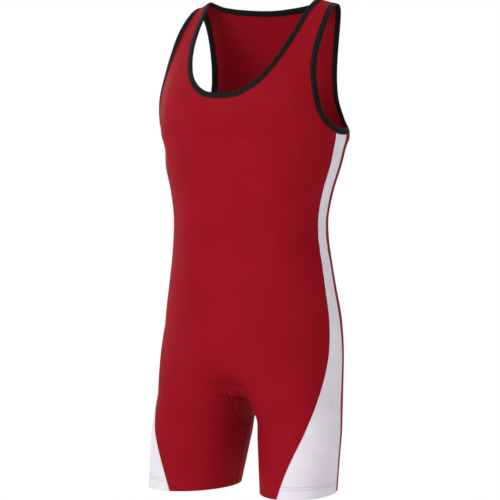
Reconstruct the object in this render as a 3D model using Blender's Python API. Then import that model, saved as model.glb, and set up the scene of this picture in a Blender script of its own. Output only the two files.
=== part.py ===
"""Weightlifting singlet in its worn shape. Metres, +Z up, the front faces -Y, its left side is +X.

The origin is midway between the two shoulder straps, at the height of their tops.
The cloth is worked out on one smooth form: a row coordinate q climbs from the leg hem (0) to the
crotch (1), the hips (2), the chest line (3) and the shoulder ridge (4), and p runs round one half
of the garment from the centre front or inseam (0) past the side (0.5) to the centre back (1).
Every piece is a patch of that form, mirrored where it crosses the centre, with its own thickness.
"""

import bmesh
import bpy
import numpy as np
from mathutils.geometry import delaunay_2d_cdt
from mathutils.kdtree import KDTree

for old in list(bpy.data.objects):
    bpy.data.objects.remove(old, do_unlink=True)

# Cloth and seams
CLOTH = 0.0012
SEAM_GAP = 0.0003
HEM_DEPTH = 0.022
BINDING_WIDTH = 0.009
BINDING_WALL = 0.001
BINDING_CLEARANCE = 0.0004
BAND_WALL = 0.001

# Levels of the form
CHEST_Z = -0.245
HIP_Z = -0.600
CROTCH_Z = -0.728
HEM_Z = -0.887
HEM_DIP = 0.006  # how much lower the hem is at the front of the leg

# Torso sections, top to bottom: half width, front and back depth from the shoulder line, squareness
TORSO = np.array(
    [  # z, half_width, front_y, back_y, squareness
        [-0.245, 0.184, -0.138, 0.089, 2.25],
        [-0.290, 0.174, -0.139, 0.087, 2.20],
        [-0.345, 0.158, -0.139, 0.078, 2.15],
        [-0.390, 0.151, -0.139, 0.072, 2.10],
        [-0.430, 0.152, -0.138, 0.071, 2.10],
        [-0.470, 0.157, -0.137, 0.075, 2.10],
        [-0.520, 0.164, -0.138, 0.081, 2.15],
        [-0.570, 0.171, -0.140, 0.090, 2.20],
        [-0.600, 0.174, -0.141, 0.092, 2.20],
        [-0.645, 0.177, -0.141, 0.092, 2.20],
    ]
)

# Leg sections, top to bottom: centre, radii, and how far the inseam lies behind the centre
LEG = np.array(
    [  # z, centre_x, centre_y, radius_x, radius_y, inseam_back
        [-0.728, 0.0900, -0.025, 0.0900, 0.103, 0.015],
        [-0.755, 0.1014, -0.028, 0.0822, 0.094, 0.018],
        [-0.780, 0.1035, -0.032, 0.0825, 0.093, 0.019],
        [-0.810, 0.1055, -0.037, 0.0810, 0.090, 0.019],
        [-0.887, 0.1105, -0.048, 0.0755, 0.084, 0.017],
    ]
)

# Shoulder ridge, by distance from the centre: height, how far back it lies, and how full the
# shoulder is before and behind it, as shares of the depth there
RIDGE = np.array(
    [  # x, z, y, front_round, back_round
        [0.000, 0.030, -0.004, 0.00, 0.60],
        [0.080, 0.016, 0.000, -0.05, 0.70],
        [0.115, 0.007, 0.012, 0.10, 0.95],
        [0.147, -0.003, 0.023, 0.26, 1.50],
        [0.160, -0.008, 0.0265, 0.46, 1.55],
        [0.200, -0.030, 0.036, 0.50, 1.60],
    ]
)
FRONT_RISE = 0.50  # how far up a column stays upright on the chest
FRONT_LEAN = 0.034  # how far it leans out over the chest
BACK_HOLLOW = 0.028  # how far it draws in behind the arm
BACK_RISE = 0.30

# Edges, as seen from the front or back
FRONT_NECK = np.array(
    [  # x, z
        [0.0000, -0.168],
        [0.0360, -0.163],
        [0.0680, -0.141],
        [0.0860, -0.112],
        [0.0965, -0.085],
        [0.1050, -0.045],
        [0.1085, -0.016],
        [0.1150, 0.006],
    ]
)
BACK_NECK = np.array(
    [  # x, z
        [0.0000, -0.0115],
        [0.0120, -0.0115],
        [0.0450, -0.0095],
        [0.0800, -0.0055],
        [0.1040, 0.000],
        [0.1150, 0.006],
    ]
)
FRONT_ARMHOLE = np.array(
    [  # x, z
        [0.1840, -0.231],
        [0.1828, -0.227],
        [0.1785, -0.2185],
        [0.1712, -0.200],
        [0.1652, -0.172],
        [0.1603, -0.140],
        [0.1560, -0.096],
        [0.1545, -0.050],
        [0.1500, -0.004],
    ]
)
BACK_ARMHOLE = np.array(
    [  # x, z
        [0.1840, -0.231],
        [0.1770, -0.230],
        [0.1660, -0.2225],
        [0.1505, -0.202],
        [0.1385, -0.178],
        [0.1340, -0.150],
        [0.1335, -0.120],
        [0.1360, -0.085],
        [0.1415, -0.045],
        [0.1500, -0.004],
    ]
)

# Gusset: where its tips lie on the inseams and on the centre line, and its widest share of a half
GUSSET_ROWS = (0.65, 1.40)
GUSSET_WIDTH = 0.078

# Side bands, as shares of a half measured from the side seam
BAND = np.array(
    [  # q, front_reach, back_reach
        [0.0, 0.243, 0.042],
        [0.5, 0.166, 0.042],
        [1.0, 0.086, 0.040],
        [1.5, 0.064, 0.045],
        [2.0, 0.047, 0.045],
        [2.5, 0.038, 0.038],
        [3.1, 0.037, 0.038],
    ]
)

# Grid of the form: columns round one half and rows in each zone
COLUMNS = 96
ZONE_ROWS = (24, 22, 50, 36)
SMOOTHING = 26


def read_table(table, at):
    """Smooth values of a table's columns at the given first-column values: cubic Hermite, averaged slopes."""
    rows = table[np.argsort(table[:, 0])]
    known, values = rows[:, 0], rows[:, 1:]
    slopes = np.gradient(values, known, axis=0)
    at = np.clip(np.asarray(at, float), known[0], known[-1])
    k = np.clip(np.searchsorted(known, at) - 1, 0, len(known) - 2)
    step = (known[k + 1] - known[k])[..., None]
    t = (at - known[k])[..., None] / step
    start = (1 + 2 * t) * (1 - t) ** 2 * values[k] + t * (1 - t) ** 2 * step * slopes[k]
    return start + t**2 * (3 - 2 * t) * values[k + 1] + t**2 * (t - 1) * step * slopes[k + 1]


def torso_section(angle, z):
    """Superellipse round one half: x = a sin^(2/n), y runs from the front depth to the back depth by cos^(2/n)."""
    width, front, back, squareness = np.moveaxis(read_table(TORSO, z), -1, 0)
    side = (front + back) / 2
    reach = np.abs(np.cos(angle)) ** (2 / squareness)
    y = side + np.where(np.cos(angle) > 0, front - side, back - side) * reach
    return width * np.abs(np.sin(angle)) ** (2 / squareness), y


def leg_section(angle, z):
    """Slanting ellipse round one leg, from the inseam over the front and the side and back to the inseam."""
    centre_x, centre_y, radius_x, radius_y, inseam_back = np.moveaxis(read_table(LEG, z), -1, 0)
    slant = np.arcsin(inseam_back / radius_y)
    return centre_x - radius_x * np.cos(2 * angle), centre_y - radius_y * np.sin(2 * angle - slant)


def back_share(angle):
    """0 on the front, 1 on the back, changing smoothly over the side."""
    return (1 - np.tanh(np.cos(angle) / 0.25)) / 2


def rise_profile(t, rise):
    """Height share of the cubic arch from the chest line (0) to the ridge (1)."""
    return 3 * (1 - t) ** 2 * t * rise + 3 * (1 - t) * t**2 + t**3


def leg_zone(angle, t):
    z = HEM_Z + (CROTCH_Z - HEM_Z) * t
    return *leg_section(angle, z), z - HEM_DIP * (1 - t) ** 2 * np.sin(2 * angle)


def crotch_zone(angle, t):
    """The leg ring opens at the inseam: its ends run along the U of the crotch seam while it becomes a torso section."""
    side_z = CROTCH_Z + (HIP_Z - CROTCH_Z) * t
    end_z = CROTCH_Z + (HIP_Z - CROTCH_Z) * (1 - np.cos(np.pi * t / 2))
    z = side_z + (end_z - side_z) * np.cos(angle) ** 4
    opened = np.sin(np.pi * t / 2)
    leg_x, leg_y = leg_section(angle, CROTCH_Z + 0 * angle)
    torso_x, torso_y = torso_section(angle, np.maximum(side_z, TORSO[-1, 0]) + 0 * angle)
    return leg_x + (torso_x - leg_x) * opened, leg_y + (torso_y - leg_y) * opened, z


def torso_zone(angle, t):
    z = HIP_Z + (CHEST_Z - HIP_Z) * t
    return *torso_section(angle, z + 0 * angle), z + 0 * angle


def shoulder_zone(angle, t):
    """Each column is a cubic arch: upright on the chest or back, level where it meets the ridge."""
    x, base_y = torso_section(angle, CHEST_Z + 0 * angle)
    ridge_z, ridge_y, front_round, back_round = np.moveaxis(read_table(RIDGE, x), -1, 0)
    behind = back_share(angle)
    rise = FRONT_RISE + (BACK_RISE - FRONT_RISE) * behind
    fullness = front_round + (back_round - front_round) * behind
    share = (1 - t) ** 3 + 3 * (1 - t) ** 2 * t + 3 * (1 - t) * t**2 * fullness
    forward = np.clip((np.cos(angle) - 0.42) / 0.33, 0, 1)
    lean = FRONT_LEAN * forward**2 * (3 - 2 * forward) * 5 * (1 - t) ** 4 * t
    hollow = np.clip(-np.cos(angle) / 0.45, 0, 1) * np.clip((np.cos(angle) + 0.97) / 0.22, 0, 1)
    lean = lean + BACK_HOLLOW * hollow**2 * (3 - 2 * hollow) * 3 * (1 - t) ** 2 * t
    y = ridge_y + share * (base_y - ridge_y) - lean
    return x, y, CHEST_Z + (ridge_z - CHEST_Z) * rise_profile(t, rise)


def padded(grid, crotch_row):
    """The grid with two more columns and rows on every side, so that neighbours exist across each seam."""
    mirror = np.array([-1.0, 1.0, 1.0])
    before, after = grid[2:0:-1] * mirror, grid[-2:-4:-1] * mirror
    before[:, :crotch_row] = grid[-3:-1, :crotch_row]
    after[:, :crotch_row] = grid[1:3, :crotch_row]
    wide = np.concatenate([before, grid, after])
    over_ridge = wide[::-1, -2:-4:-1]
    below_hem = np.stack([wide[:, 0] * (1 + k) - wide[:, 1] * k for k in (2, 1)], axis=1)
    return np.concatenate([below_hem, wide, over_ridge], axis=1)


def make_form():
    """The grid of the whole half form, eased where the legs join so that no crease is left there."""
    angle = np.linspace(0, np.pi, COLUMNS + 1)
    zones = (leg_zone, crotch_zone, torso_zone, shoulder_zone)
    rows = [
        np.stack(zone(angle, t), axis=-1)
        for zone, count in zip(zones, ZONE_ROWS)
        for t in np.arange(count) / count
    ]
    rows.append(np.stack(shoulder_zone(angle, 1.0), axis=-1))
    grid = np.stack(rows, axis=1)
    crotch_row = ZONE_ROWS[0]
    row = np.arange(grid.shape[1])
    near_crotch = np.exp(-(((row - crotch_row - 9) / 11.0) ** 2))
    near_centre = 0.15 + 0.85 * np.cos(angle) ** 2
    ease = 0.04 + 0.9 * near_centre[:, None] * near_crotch[None, :]
    ease[:, 0] = 0
    ease[[0, -1], crotch_row] = 0
    for _ in range(SMOOTHING):
        wide = padded(grid, crotch_row)
        around = wide[1:-3, 2:-2] + wide[3:-1, 2:-2] + wide[2:-2, 1:-3] + wide[2:-2, 3:-1]
        grid = grid + ease[..., None] * (around / 4 - grid)
    return padded(grid, crotch_row)


FORM = make_form()


def surface(p, q):
    """Points of the form at (p, q), by Catmull-Rom interpolation of its grid."""
    column = np.asarray(p, float) * COLUMNS + 2
    edges = np.cumsum((-ZONE_ROWS[0], ZONE_ROWS[0], *ZONE_ROWS, ZONE_ROWS[-1]))
    row = np.interp(q, np.arange(-1, 6), edges) + 2

    def weights(at, count):
        first = np.clip(np.floor(at).astype(int), 1, count - 3)
        t = at - first
        return first - 1, (
            (-t + 2 * t**2 - t**3) / 2,
            (2 - 5 * t**2 + 3 * t**3) / 2,
            (t + 4 * t**2 - 3 * t**3) / 2,
            (-(t**2) + t**3) / 2,
        )

    first_column, column_weights = weights(column, FORM.shape[0])
    first_row, row_weights = weights(row, FORM.shape[1])
    total = 0
    for i, column_weight in enumerate(column_weights):
        for j, row_weight in enumerate(row_weights):
            share = np.asarray(column_weight * row_weight)[..., None]
            total = total + share * FORM[first_column + i, first_row + j]
    return total


def tangents(p, q):
    """Change of the surface per unit of p and of q."""
    step = 0.004
    across = (surface(p + step, q) - surface(p - step, q)) / (2 * step)
    return across, (surface(p, q + step) - surface(p, q - step)) / (2 * step)


def outward(p, q):
    """Unit normals of the form, pointing away from the wearer."""
    across, up = tangents(p, q)
    normal = np.cross(across, up)
    normal[..., 0][np.abs(surface(p, q)[..., 0]) < 1e-6] = 0
    return normal / np.linalg.norm(normal, axis=-1, keepdims=True)


def find(x, z, back):
    """(p, q) of the points of the shoulder zone seen at (x, z) from the front or from the back."""
    width, squareness = TORSO[0, 1], TORSO[0, 4]
    angle = np.arcsin(np.clip(x / width, 0, 1) ** (squareness / 2))
    angle = np.pi - angle if back else angle
    rise = FRONT_RISE + (BACK_RISE - FRONT_RISE) * back_share(angle)
    share = (z - CHEST_Z) / (read_table(RIDGE, x)[..., 0] - CHEST_Z)
    low, high = np.zeros_like(angle), np.ones_like(angle)
    for _ in range(40):
        middle = (low + high) / 2
        below = rise_profile(middle, rise) < share
        low, high = np.where(below, middle, low), np.where(below, high, middle)
    return angle / np.pi, 3 + (low + high) / 2


# The plane (p, q) laid out near true scale, for spacing points and for triangles
PLANE_WIDTH = 0.56
PLANE_ROWS = np.array([0.0, 0.160, 0.290, 0.645, 0.900])


def to_plane(points):
    return np.stack([points[..., 0] * PLANE_WIDTH, np.interp(points[..., 1], np.arange(5), PLANE_ROWS)], axis=-1)


def from_plane(points):
    return np.stack([points[..., 0] / PLANE_WIDTH, np.interp(points[..., 1], PLANE_ROWS, np.arange(5))], axis=-1)


def spaced(points, count):
    """The polyline through (p, q) points, as count + 1 points at even distances on the surface."""
    t = np.linspace(0, len(points) - 1, 40 * len(points))
    index = np.arange(len(points))
    dense = np.stack([np.interp(t, index, points[:, k]) for k in (0, 1)], axis=-1)
    length = np.linalg.norm(np.diff(surface(*dense.T), axis=0), axis=1)
    along = np.concatenate([[0], np.cumsum(length)])
    at = np.linspace(0, along[-1], count + 1)
    return np.stack([np.interp(at, along, dense[:, k]) for k in (0, 1)], axis=-1)


def edge_points(table, back, count):
    """A smooth curve through a table of (x, z), as count + 1 evenly spaced (p, q) points."""
    run = np.concatenate([[0], np.cumsum(np.linalg.norm(np.diff(table, axis=0), axis=1))])
    x, z = read_table(np.column_stack([run, table]), np.linspace(0, run[-1], 400)).T
    points = np.stack(find(x, z, back), axis=-1)
    points[-1, 1] = 4
    return spaced(points, count)


def inset(edge, distance, side, start_p):
    """(p, q) points a distance in from an edge, on its left (+1) or right (-1), ending on the ridge."""
    along = np.gradient(surface(*edge.T), axis=0)
    inward = side * np.cross(outward(*edge.T), along)
    inward /= np.linalg.norm(inward, axis=1, keepdims=True)
    basis = np.stack(tangents(*edge.T), axis=-1)
    steps = np.stack([np.linalg.lstsq(b, v * distance, rcond=None)[0] for b, v in zip(basis, inward)])
    points = edge + steps
    points[0, 0] = start_p
    ridge_step = distance / np.linalg.norm(tangents(edge[-1:, 0], edge[-1:, 1])[0])
    points[-1] = edge[-1, 0] + ridge_step * np.sign(points[-2, 0] - edge[-2, 0]), 4
    return points


def between(start, end, count):
    return start + (np.asarray(end) - start) * np.linspace(0, 1, count + 1)[:, None]


def at_rows(p, rows):
    return np.stack([p + 0 * rows, rows], axis=-1)


def inside(points, loop):
    """Which points of the plane lie inside a closed loop, by counting crossings."""
    start, end = loop, np.roll(loop, -1, axis=0)
    x, y = points[:, None, 0], points[:, None, 1]
    crosses = (start[:, 1] > y) != (end[:, 1] > y)
    rise = np.where(end[:, 1] == start[:, 1], 1, end[:, 1] - start[:, 1])
    at = start[:, 0] + (y - start[:, 1]) / rise * (end[:, 0] - start[:, 0])
    return (crosses & (x < at)).sum(axis=1) % 2 == 1


def triangulate(loop, lines, spacing, strips=()):
    """Triangles over a loop of (p, q) points, keeping its edges and the given lines as edges.

    Free points are laid between them at the given spacing, but none inside the strips.
    """
    chains = [np.vstack([loop, loop[:1]])] + list(lines)
    fixed = np.vstack(chains)
    plane, keep = np.unique(np.round(to_plane(fixed), 7), axis=0, return_index=True)
    fixed = fixed[keep]
    edges, start = [], 0
    for chain in chains:
        flat = np.round(to_plane(chain), 7)
        index = [int(np.argmin(np.abs(plane - point).sum(axis=1))) for point in flat]
        edges += [(i, j) for i, j in zip(index[:-1], index[1:]) if i != j]
    low, high = plane.min(axis=0), plane.max(axis=0)
    rows = [low[1] + 0.5 * spacing(low[1])]
    while rows[-1] < high[1]:
        rows.append(rows[-1] + 0.9 * spacing(rows[-1]))
    free = np.vstack(
        [
            [(x, y) for x in np.arange(low[0] + (0.5 + k % 2 / 2) * spacing(y), high[0], spacing(y))]
            for k, y in enumerate(rows)
            if low[0] + spacing(y) < high[0]
        ]
        or [np.zeros((0, 2))]
    )
    free = free[inside(free, to_plane(loop))]
    for strip in strips:
        free = free[~inside(free, to_plane(strip))]
    middle = np.array([(plane[i] + plane[j]) / 2 for i, j in edges])
    near = np.vstack([plane, middle])
    gap = np.array([np.linalg.norm(near - point, axis=1).min() / spacing(point[1]) for point in free])
    free = free[gap > 0.5] if len(free) else free
    every = np.vstack([plane, free])
    result = delaunay_2d_cdt([tuple(point) for point in every], edges, [], 1, 1e-7)
    corners, faces, sources = result[0], result[2], result[3]
    known = np.vstack([fixed, from_plane(free)])
    placed = from_plane(np.array([tuple(corner) for corner in corners]))
    points = np.array([known[source[0]] if source else spot for source, spot in zip(sources, placed)])
    return points, np.array(faces)


def cell_size(y):
    """Wanted spacing of points: finer over the shoulder, where the cloth bends most."""
    return float(np.interp(y, [0, 0.64, 0.72, 0.80, 0.90], [0.028, 0.026, 0.022, 0.016, 0.012]))


MIDDLE_STEP = 0.027  # spacing of points up the centre line
GUSSET_LOW = np.linspace(GUSSET_ROWS[0], 1, 5)
GUSSET_HIGH = 1 + (GUSSET_ROWS[1] - 1) * np.sin(np.linspace(0, np.pi / 2, 8))


def hem_row():
    """The row a hem's depth above the edge, at the side of the leg."""
    rows = np.linspace(0, 1, 400)
    points = surface(0.5 + 0 * rows, rows)
    run = np.concatenate([[0], np.cumsum(np.linalg.norm(np.diff(points, axis=0), axis=1))])
    return float(np.interp(HEM_DEPTH, run, rows))


HEM_ROW = hem_row()
HEM_STEP_ROW = HEM_ROW + 0.009
INSEAM_ROWS = np.array([0, HEM_ROW / 2, HEM_ROW, HEM_STEP_ROW, *np.linspace(0.2, GUSSET_ROWS[0], 4)])
INSEAM_ROWS = np.unique(INSEAM_ROWS)


def gusset_reach(rows):
    """Share of the half that the gusset covers: pointed down the inseams, round before and behind."""
    low, high = GUSSET_ROWS
    below = np.sin(np.pi / 2 * np.clip((rows - low) / (1 - low), 0, 1))
    above = np.sqrt(1 - np.clip((rows - 1) / (high - 1), 0, 1) ** 2)
    return GUSSET_WIDTH * np.where(rows < 1, below, above)


SIDE_INSET = inset(edge_points(FRONT_ARMHOLE, False, 16), BINDING_WIDTH + 0.001, 1, 0.5)[0, 1]
SIDE_ROWS = np.concatenate([[0, HEM_ROW, HEM_STEP_ROW], np.linspace(0.25, 1, 6), np.linspace(1, 2, 6)[1:]])
SIDE_ROWS = np.concatenate([SIDE_ROWS, np.linspace(2, SIDE_INSET, 16)[1:]])


def edges_of(back):
    """The neck edge and armhole edge of one half, each with the line a binding's width inside it."""
    neck_table, armhole_table = (BACK_NECK, BACK_ARMHOLE) if back else (FRONT_NECK, FRONT_ARMHOLE)
    neck = edge_points(neck_table, back, 8 if back else 14)
    armhole = edge_points(armhole_table, back, 16)
    turn = -1 if back else 1
    neck_line = inset(neck, BINDING_WIDTH + 0.001, -turn, neck[0, 0])
    armhole_line = inset(armhole, BINDING_WIDTH + 0.001, turn, 0.5)
    armhole_line[0, 1] = SIDE_INSET
    return neck, neck_line, armhole, armhole_line


def half_outline(back):
    """The outline of one half of the front or back, the lines its triangles keep, and its bound strips."""
    neck, neck_line, armhole, armhole_line = edges_of(back)
    centre = 1.0 if back else 0.0
    turn = -1 if back else 1
    inseam = at_rows(centre, INSEAM_ROWS)
    gusset_rows = np.concatenate([GUSSET_LOW[1:], GUSSET_HIGH[1:]])
    gusset = np.stack([centre + turn * gusset_reach(gusset_rows), gusset_rows], axis=-1)
    gusset[-1, 0] = centre
    length = np.ptp(to_plane(np.stack([gusset[-1], neck_line[0]]))[:, 1])
    middle = between(gusset[-1], neck_line[0], int(np.ceil(length / MIDDLE_STEP)))[1:]
    ridge = between(neck_line[-1], armhole_line[-1], 2)
    side = at_rows(0.5, SIDE_ROWS[::-1])
    reach = turn * np.interp(SIDE_ROWS, BAND[:, 0], BAND[:, 2 if back else 1])
    band = np.stack([0.5 - reach, SIDE_ROWS], axis=-1)
    hem = np.vstack([between(side[-1], band[0], 1 if back else 4), between(band[0], inseam[0], 14 if back else 10)[1:-1]])
    loop = [inseam, gusset, middle, neck, ridge, armhole[::-1], side, hem[1:]]
    turnings = [
        np.vstack([between((centre, row), band[k], 12), between(band[k], (0.5, row), 3)[1:]])
        for k, row in ((1, HEM_ROW), (2, HEM_STEP_ROW))
    ]
    band_top = between(band[-1], side[0], 1)
    ladders = []
    for edge, line in ((neck, neck_line), (armhole, armhole_line)):
        zigzag = np.stack([line, edge], axis=1).reshape(-1, 2)
        ladders += [zigzag]
    strips = [np.vstack([neck, neck_line[::-1]]), np.vstack([armhole, armhole_line[::-1]])]
    return np.vstack(loop), [neck_line, armhole_line, band, band_top, *turnings, *ladders], strips


def sheet(points, faces, loop, back):
    """Positions, normals and triangles of a patch, its outline drawn in by half a seam gap."""
    places, normals = surface(*points.T), outward(*points.T)
    rim = surface(*loop.T)
    along = np.roll(rim, -1, axis=0) - np.roll(rim, 1, axis=0)
    inward = (1 if back else -1) * np.cross(outward(*loop.T), along)
    inward[(np.abs(rim[:, 0]) < 1e-6) & (loop[:, 1] > 1), 0] = 0
    length = np.linalg.norm(inward, axis=1, keepdims=True)
    inward = np.where(length > 1e-9, inward / np.maximum(length, 1e-9), 0)
    for spot, push in zip(loop, inward):
        places[np.abs(points - spot).sum(axis=1) < 1e-7] += push * SEAM_GAP / 2
    return places, normals, faces


def mirrored(places, normals, faces, *values):
    """A sheet joined to its reflection in the centre plane."""
    flip = np.array([-1.0, 1.0, 1.0])
    joined = np.vstack([places, places * flip]), np.vstack([normals, normals * flip])
    return *joined, np.vstack([faces, faces[:, ::-1] + len(places)]), *(np.concatenate([v, v]) for v in values)


def weld(places, normals, faces, *values):
    """The sheet with points that coincide made one."""
    tree = KDTree(len(places))
    for index, place in enumerate(places):
        tree.insert(place, index)
    tree.balance()
    first = np.array([min(found[1] for found in tree.find_range(place, 1e-5)) for place in places])
    keep, order = np.unique(first, return_inverse=True)
    faces = order[faces]
    whole = (faces[:, 0] != faces[:, 1]) & (faces[:, 1] != faces[:, 2]) & (faces[:, 0] != faces[:, 2])
    return places[keep], normals[keep], faces[whole], *(value[keep] for value in values)


def thicken(places, normals, faces, above, below):
    """A closed wall between the sheet moved out by one distance and in by another."""
    above, below = (np.broadcast_to(value, len(places))[:, None] for value in (above, below))
    count = len(places)
    sides = {}
    for a, b, c in faces:
        for edge in ((a, b), (b, c), (c, a)):
            sides[edge] = True
    rim = [(a, b) for a, b in sides if (b, a) not in sides]
    walls = [(b, a, a + count, b + count) for a, b in rim]
    inner = [(c + count, b + count, a + count) for a, b, c in faces]
    points = np.vstack([places + normals * above, places - normals * below])
    return points, [tuple(face) for face in faces] + inner + walls


def make_object(name, points, faces, material):
    mesh = bpy.data.meshes.new(name)
    mesh.from_pydata([tuple(point) for point in points], [], [tuple(int(i) for i in face) for face in faces])
    part = bmesh.new()
    part.from_mesh(mesh)
    bmesh.ops.recalc_face_normals(part, faces=part.faces)
    part.to_mesh(mesh)
    part.free()
    mesh.materials.append(material)
    mesh.polygons.foreach_set("use_smooth", [True] * len(mesh.polygons))
    thing = bpy.data.objects.new(name, mesh)
    bpy.context.scene.collection.objects.link(thing)
    return thing


def make_material(name, colour, roughness):
    material = bpy.data.materials.new(name)
    material.use_nodes = True
    shader = material.node_tree.nodes["Principled BSDF"]
    shader.inputs["Base Color"].default_value = (*colour, 1.0)
    shader.inputs["Roughness"].default_value = roughness
    shader.inputs["Metallic"].default_value = 0.0
    return material


def panel(back):
    """One whole cloth panel: half triangulated, joined to its reflection, walled, and turned up at the hem."""
    loop, lines, strips = half_outline(back)
    points, faces = triangulate(loop, lines, cell_size, strips)
    places, normals, faces = sheet(points, faces, loop, back)
    depth = np.where(points[:, 1] <= HEM_ROW + 1e-6, 1.5 * CLOTH, 0.5 * CLOTH)
    places, normals, faces, depth = weld(*mirrored(places, normals, faces, depth))
    return thicken(places, normals, faces, CLOTH / 2, depth)


def gusset_quarter(back):
    """The part of the gusset on one side and one face of the garment."""
    centre = 1.0 if back else 0.0
    turn = -1 if back else 1
    rows = np.concatenate([GUSSET_LOW, GUSSET_HIGH[1:]])
    edge = np.stack([centre + turn * gusset_reach(rows), rows], axis=-1)
    edge[[0, -1], 0] = centre
    middle = at_rows(centre, rows)[::-1]
    loop = np.vstack([middle, edge[1:-1]])
    points, faces = triangulate(loop, [between((centre, 1.0), (centre + turn * GUSSET_WIDTH, 1.0), 3)], cell_size)
    places, normals = surface(*points.T), outward(*points.T)
    rim = surface(*edge.T)
    inward = (-1 if back else 1) * np.cross(outward(*edge.T), np.gradient(rim, axis=0))
    for end, step in ((0, 0.02), (-1, -0.02)):
        inward[end] = surface(centre, rows[end] + step) - rim[end]
    inward /= np.linalg.norm(inward, axis=1, keepdims=True)
    for spot, push in zip(edge, inward):
        places[np.abs(points - spot).sum(axis=1) < 1e-7] += push * SEAM_GAP * 0.7
    return places, normals, faces


def gusset():
    front, back = gusset_quarter(False), gusset_quarter(True)
    faces = np.vstack([front[2], back[2] + len(front[0])])
    joined = np.vstack([front[0], back[0]]), np.vstack([front[1], back[1]]), faces
    places, normals, faces = weld(*mirrored(*joined))
    return thicken(places, normals, faces, CLOTH / 2, CLOTH / 2)


def side_band():
    """One applied band: the panels' own triangles beside the side seam, moved out."""
    parts = []
    for back in (False, True):
        loop, lines, strips = half_outline(back)
        points, faces = triangulate(loop, lines, cell_size, strips)
        middle = points[faces].mean(axis=1)
        edge = lines[2]
        reach = np.abs(0.5 - np.interp(middle[:, 1], edge[:, 1], edge[:, 0]))
        chosen = faces[(np.abs(middle[:, 0] - 0.5) < reach) & (middle[:, 1] < SIDE_INSET)]
        used, order = np.unique(chosen, return_inverse=True)
        spots = points[used]
        places, normals = surface(*spots.T), outward(*spots.T)
        faces = order.reshape(chosen.shape)
        parts.append((places, normals, faces))
    faces = np.vstack([parts[0][2], parts[1][2] + len(parts[0][0])])
    joined = np.vstack([parts[0][0], parts[1][0]]), np.vstack([parts[0][1], parts[1][1]]), faces
    low = CLOTH / 2 + SEAM_GAP
    return thicken(*weld(*joined), low + BAND_WALL, -low)


def binding_sections(edge, line):
    """Where each cross-section of a binding stands: edge and inner line, with the normals there."""
    return surface(*edge.T), surface(*line.T), outward(*edge.T), outward(*line.T)


def binding(sections, outbound):
    """A closed U-shaped strip folded over an edge, clear of the cloth by the same distance all round.

    Each stretch is split from corner to corner as the cloth under it is: outbound says in which sense.
    """
    edge, line, edge_normal, line_normal = sections
    share = BINDING_WIDTH / (BINDING_WIDTH + 0.001)
    leg = edge + (line - edge) * share
    leg_normal = edge_normal + (line_normal - edge_normal) * share
    away = (edge - line) / np.linalg.norm(edge - line, axis=1, keepdims=True)
    near = CLOTH / 2 + BINDING_CLEARANCE
    far = near + BINDING_WALL
    ring = [
        leg + leg_normal * far,
        edge + edge_normal * far,
        edge + edge_normal * near * 0.9 + away * far,
        edge - edge_normal * near * 0.9 + away * far,
        edge - edge_normal * far,
        leg - leg_normal * far,
        leg - leg_normal * near,
        edge - edge_normal * near + away * BINDING_CLEARANCE,
        edge + edge_normal * near + away * BINDING_CLEARANCE,
        leg + leg_normal * near,
    ]
    points = np.stack(ring, axis=1)
    count, around = points.shape[:2]
    index = np.arange(count * around).reshape(count, around)
    after, right = np.roll(index, -1, axis=0), np.roll(index, -1, axis=1)
    corner = np.roll(after, -1, axis=1)
    leg_first = np.isin(np.arange(around), (0, 6))
    forward = outbound[:, None] != leg_first[None, :]
    one = np.stack([index, after, corner], axis=-1), np.stack([index, corner, right], axis=-1)
    other = np.stack([index, after, right], axis=-1), np.stack([after, corner, right], axis=-1)
    halves = [np.where(forward[..., None], a, b).reshape(-1, 3) for a, b in zip(one, other)]
    return points.reshape(-1, 3), np.vstack(halves)


def neck_binding():
    front, back = edges_of(False), edges_of(True)
    edge = np.vstack([front[0], back[0][-2::-1]])
    line = np.vstack([front[1], back[1][-2::-1]])
    half = binding_sections(edge, line)
    flip = np.array([-1.0, 1.0, 1.0])
    stretches = np.repeat([True, False], [len(front[0]) - 1, len(back[0]) - 1])
    whole = [np.vstack([part, part[-2:0:-1] * flip]) for part in half]
    return binding(whole, np.concatenate([stretches, ~stretches[::-1]]))


def armhole_binding():
    front, back = edges_of(False), edges_of(True)
    edge = np.vstack([front[2], back[2][-2:0:-1]])
    line = np.vstack([front[3], back[3][-2:0:-1]])
    stretches = np.repeat([True, False], [len(front[2]) - 1, len(back[2]) - 1])
    return binding(binding_sections(edge, line), stretches)


RED = make_material("red stretch knit", (0.300, 0.010, 0.017), 0.60)
BLACK = make_material("black binding knit", (0.008, 0.008, 0.009), 0.55)
WHITE = make_material("white applied knit", (0.760, 0.740, 0.780), 0.55)

OTHER_SIDE = np.array([-1.0, 1.0, 1.0])
make_object("front", *panel(False), RED)
make_object("back", *panel(True), RED)
make_object("gusset", *gusset(), RED)
make_object("neck_binding", *neck_binding(), BLACK)
ARMHOLE_POINTS, ARMHOLE_FACES = armhole_binding()
make_object("armhole_binding_left", ARMHOLE_POINTS, ARMHOLE_FACES, BLACK)
make_object("armhole_binding_right", ARMHOLE_POINTS * OTHER_SIDE, ARMHOLE_FACES, BLACK)
BAND_POINTS, BAND_FACES = side_band()
make_object("side_band_left", BAND_POINTS, BAND_FACES, WHITE)
make_object("side_band_right", BAND_POINTS * OTHER_SIDE, BAND_FACES, WHITE)
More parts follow.
